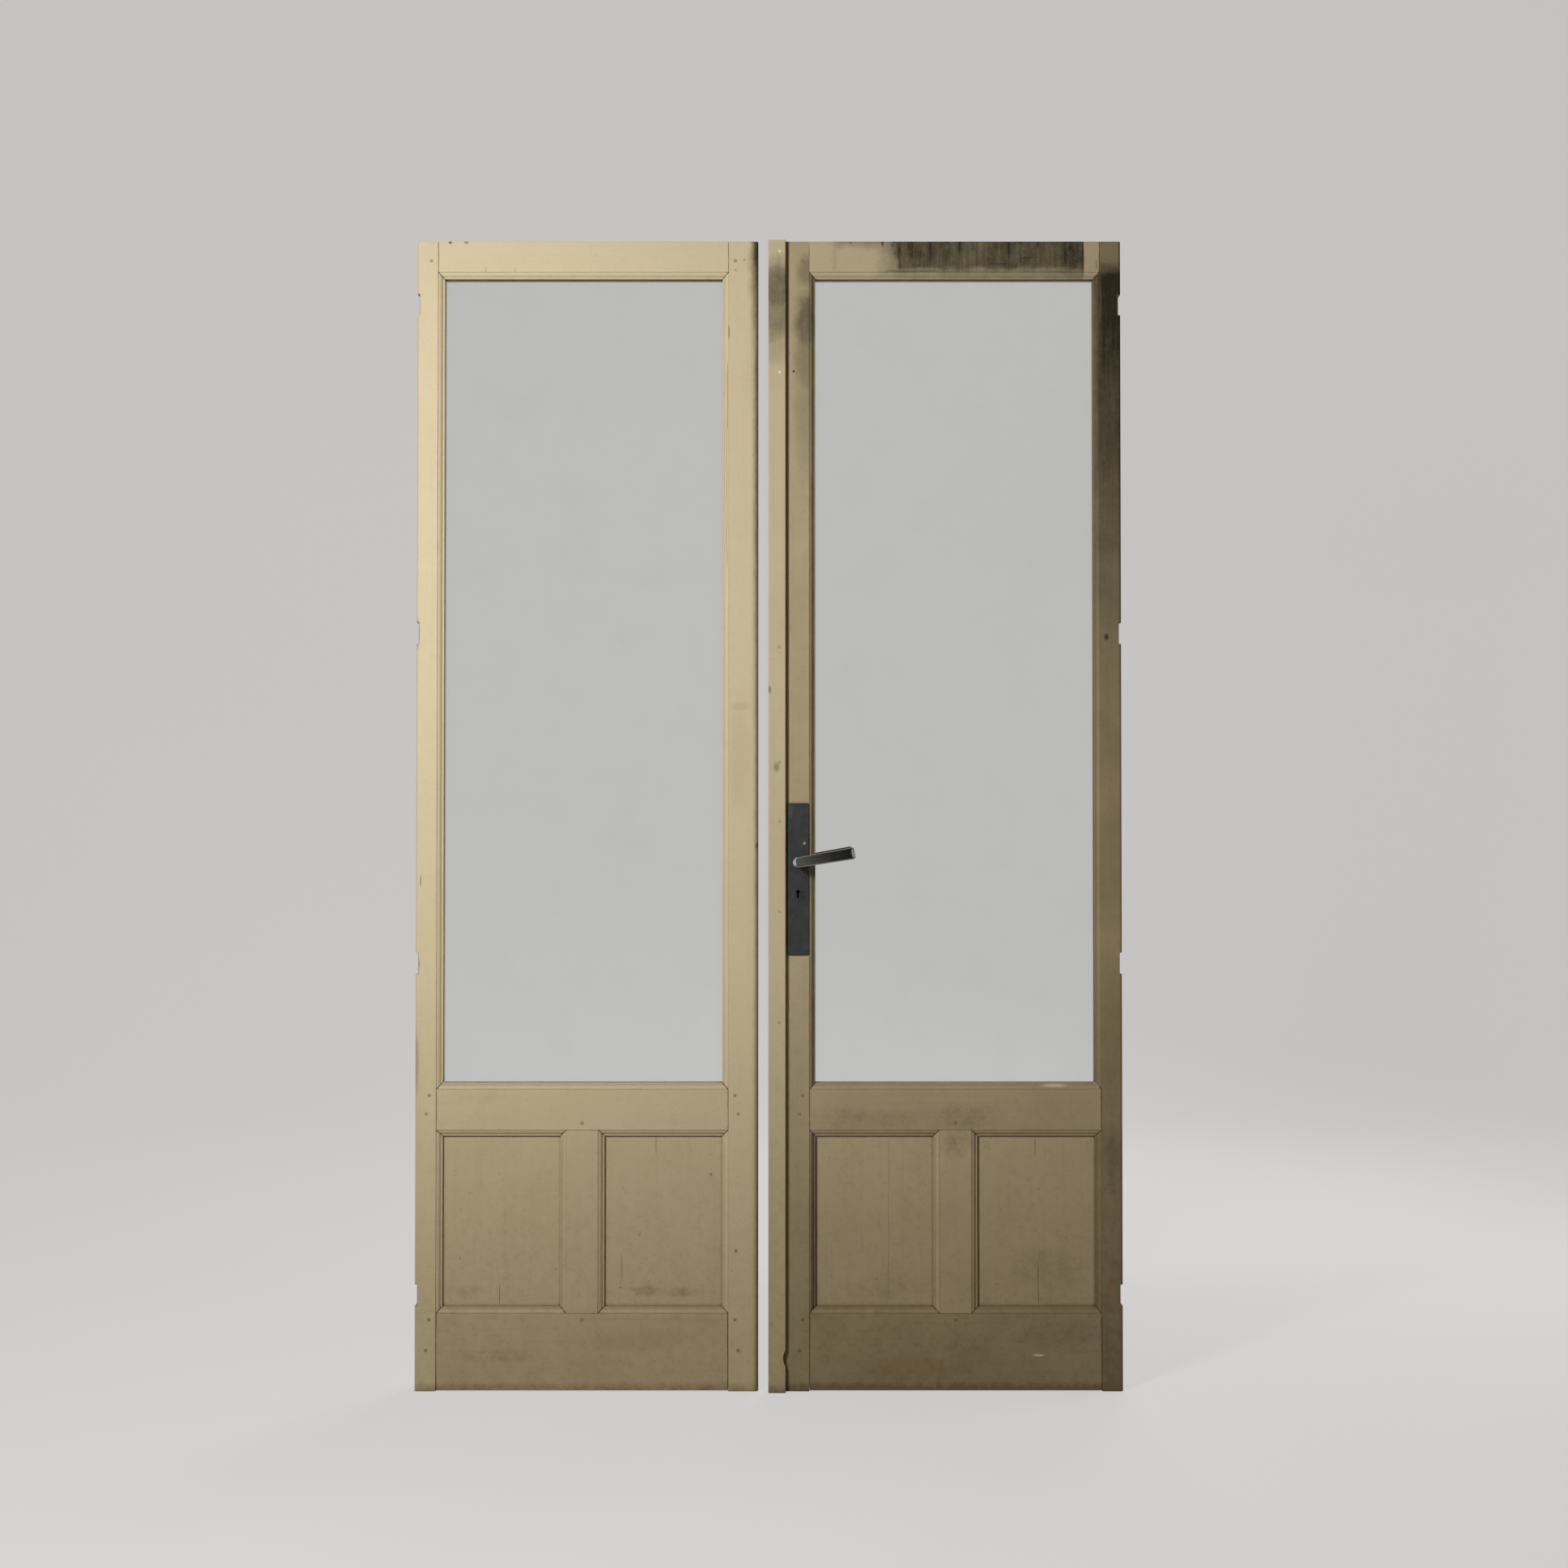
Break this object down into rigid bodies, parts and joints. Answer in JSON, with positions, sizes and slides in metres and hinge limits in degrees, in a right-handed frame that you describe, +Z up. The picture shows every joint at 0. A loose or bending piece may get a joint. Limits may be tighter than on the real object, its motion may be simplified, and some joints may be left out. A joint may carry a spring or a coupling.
{
  "type": "pair of french door leaves",
  "caption": "Pair of tall painted wooden french door leaves, each glazed above and panelled below, with a meeting strip, mortise lock and lever handle.",
  "frame": {"origin": "on the floor, midway between the outer edges and midway through the leaves", "axes": "+X to the right along the leaves, the front faces -Y, +Z up"},
  "size_m": [1.382, 0.138, 2.25],
  "materials": {
    "left_paint": "old cream oil paint, worn and grimy",
    "right_paint": "old cream oil paint, worn and soot-stained",
    "glass": "clear",
    "dark_iron": "dark, dull and scuffed",
    "lever_metal": "worn dull metal",
    "steel": "aged steel"
  },
  "bodies": {
    "leaves": {"left_hinge_stile": "left_paint", "left_meeting_stile": "left_paint", "left_top_rail": "left_paint", "left_middle_rail": "left_paint", "left_bottom_rail": "left_paint", "left_muntin": "left_paint", "left_hinge_panel": "left_paint", "left_meeting_panel": "left_paint", "left_glass": "glass", "left_bead_top": "left_paint", "left_bead_bottom": "left_paint", "left_bead_hinge_side": "left_paint", "left_bead_meeting_side": "left_paint", "left_bead_brads": "steel", "left_pegs": "left_paint", "right_hinge_stile": "right_paint", "right_meeting_stile": "right_paint", "right_top_rail": "right_paint", "right_middle_rail": "right_paint", "right_bottom_rail": "right_paint", "right_muntin": "right_paint", "right_hinge_panel": "right_paint", "right_meeting_panel": "right_paint", "right_glass": "glass", "right_bead_top": "right_paint", "right_bead_bottom": "right_paint", "right_bead_hinge_side": "right_paint", "right_bead_meeting_side": "right_paint", "right_bead_brads": "steel", "right_pegs": "right_paint", "meeting_strip": "right_paint", "strip_nails": "dark_iron", "lock_case": "dark_iron", "lock_cover": "dark_iron", "front_backplate": "dark_iron", "rear_backplate": "dark_iron", "lock_forend": "steel", "forend_screws": "steel", "backplate_screws": "steel", "strike_plate": "steel", "strike_screws": "steel", "top_bolt_plate": "steel", "bottom_bolt_plate": "steel", "bolt_plate_screws": "steel"},
    "lever_set": {"front_lever": "lever_metal", "rear_lever": "lever_metal", "lever_screws": "steel", "spindle": "steel", "follower": "steel"},
    "latch": {"latch_bolt": "steel"},
    "dead_bolt": {"dead_bolt": "steel"},
    "top_bolt": {"top_bolt": "steel"},
    "bottom_bolt": {"bottom_bolt": "steel"}
  },
  "joints": [
    {"name": "lever_press", "type": "hinge", "parent": "leaves", "child": "lever_set", "pos_m": [0.057, 0, 1.031], "axis": [0, 1, 0], "range_deg": [0, 45], "stiffness_Nm_per_rad": 0.6, "springref_deg": -22.92},
    {"name": "latch_slide", "type": "slide", "parent": "leaves", "child": "latch", "axis": [1, 0, 0], "range_m": [0, 0.009]},
    {"name": "dead_bolt_throw", "type": "slide", "parent": "leaves", "child": "dead_bolt", "axis": [-1, 0, 0], "range_m": [0, 0.014]},
    {"name": "top_bolt_throw", "type": "slide", "parent": "leaves", "child": "top_bolt", "axis": [0, 0, 1], "range_m": [0, 0.018]},
    {"name": "bottom_bolt_throw", "type": "slide", "parent": "leaves", "child": "bottom_bolt", "axis": [0, 0, -1], "range_m": [0, 0.018]}
  ],
  "couplings": [
    {"joint": "latch_slide", "follows": "lever_press", "m_per_rad": 0.011446}
  ]
}
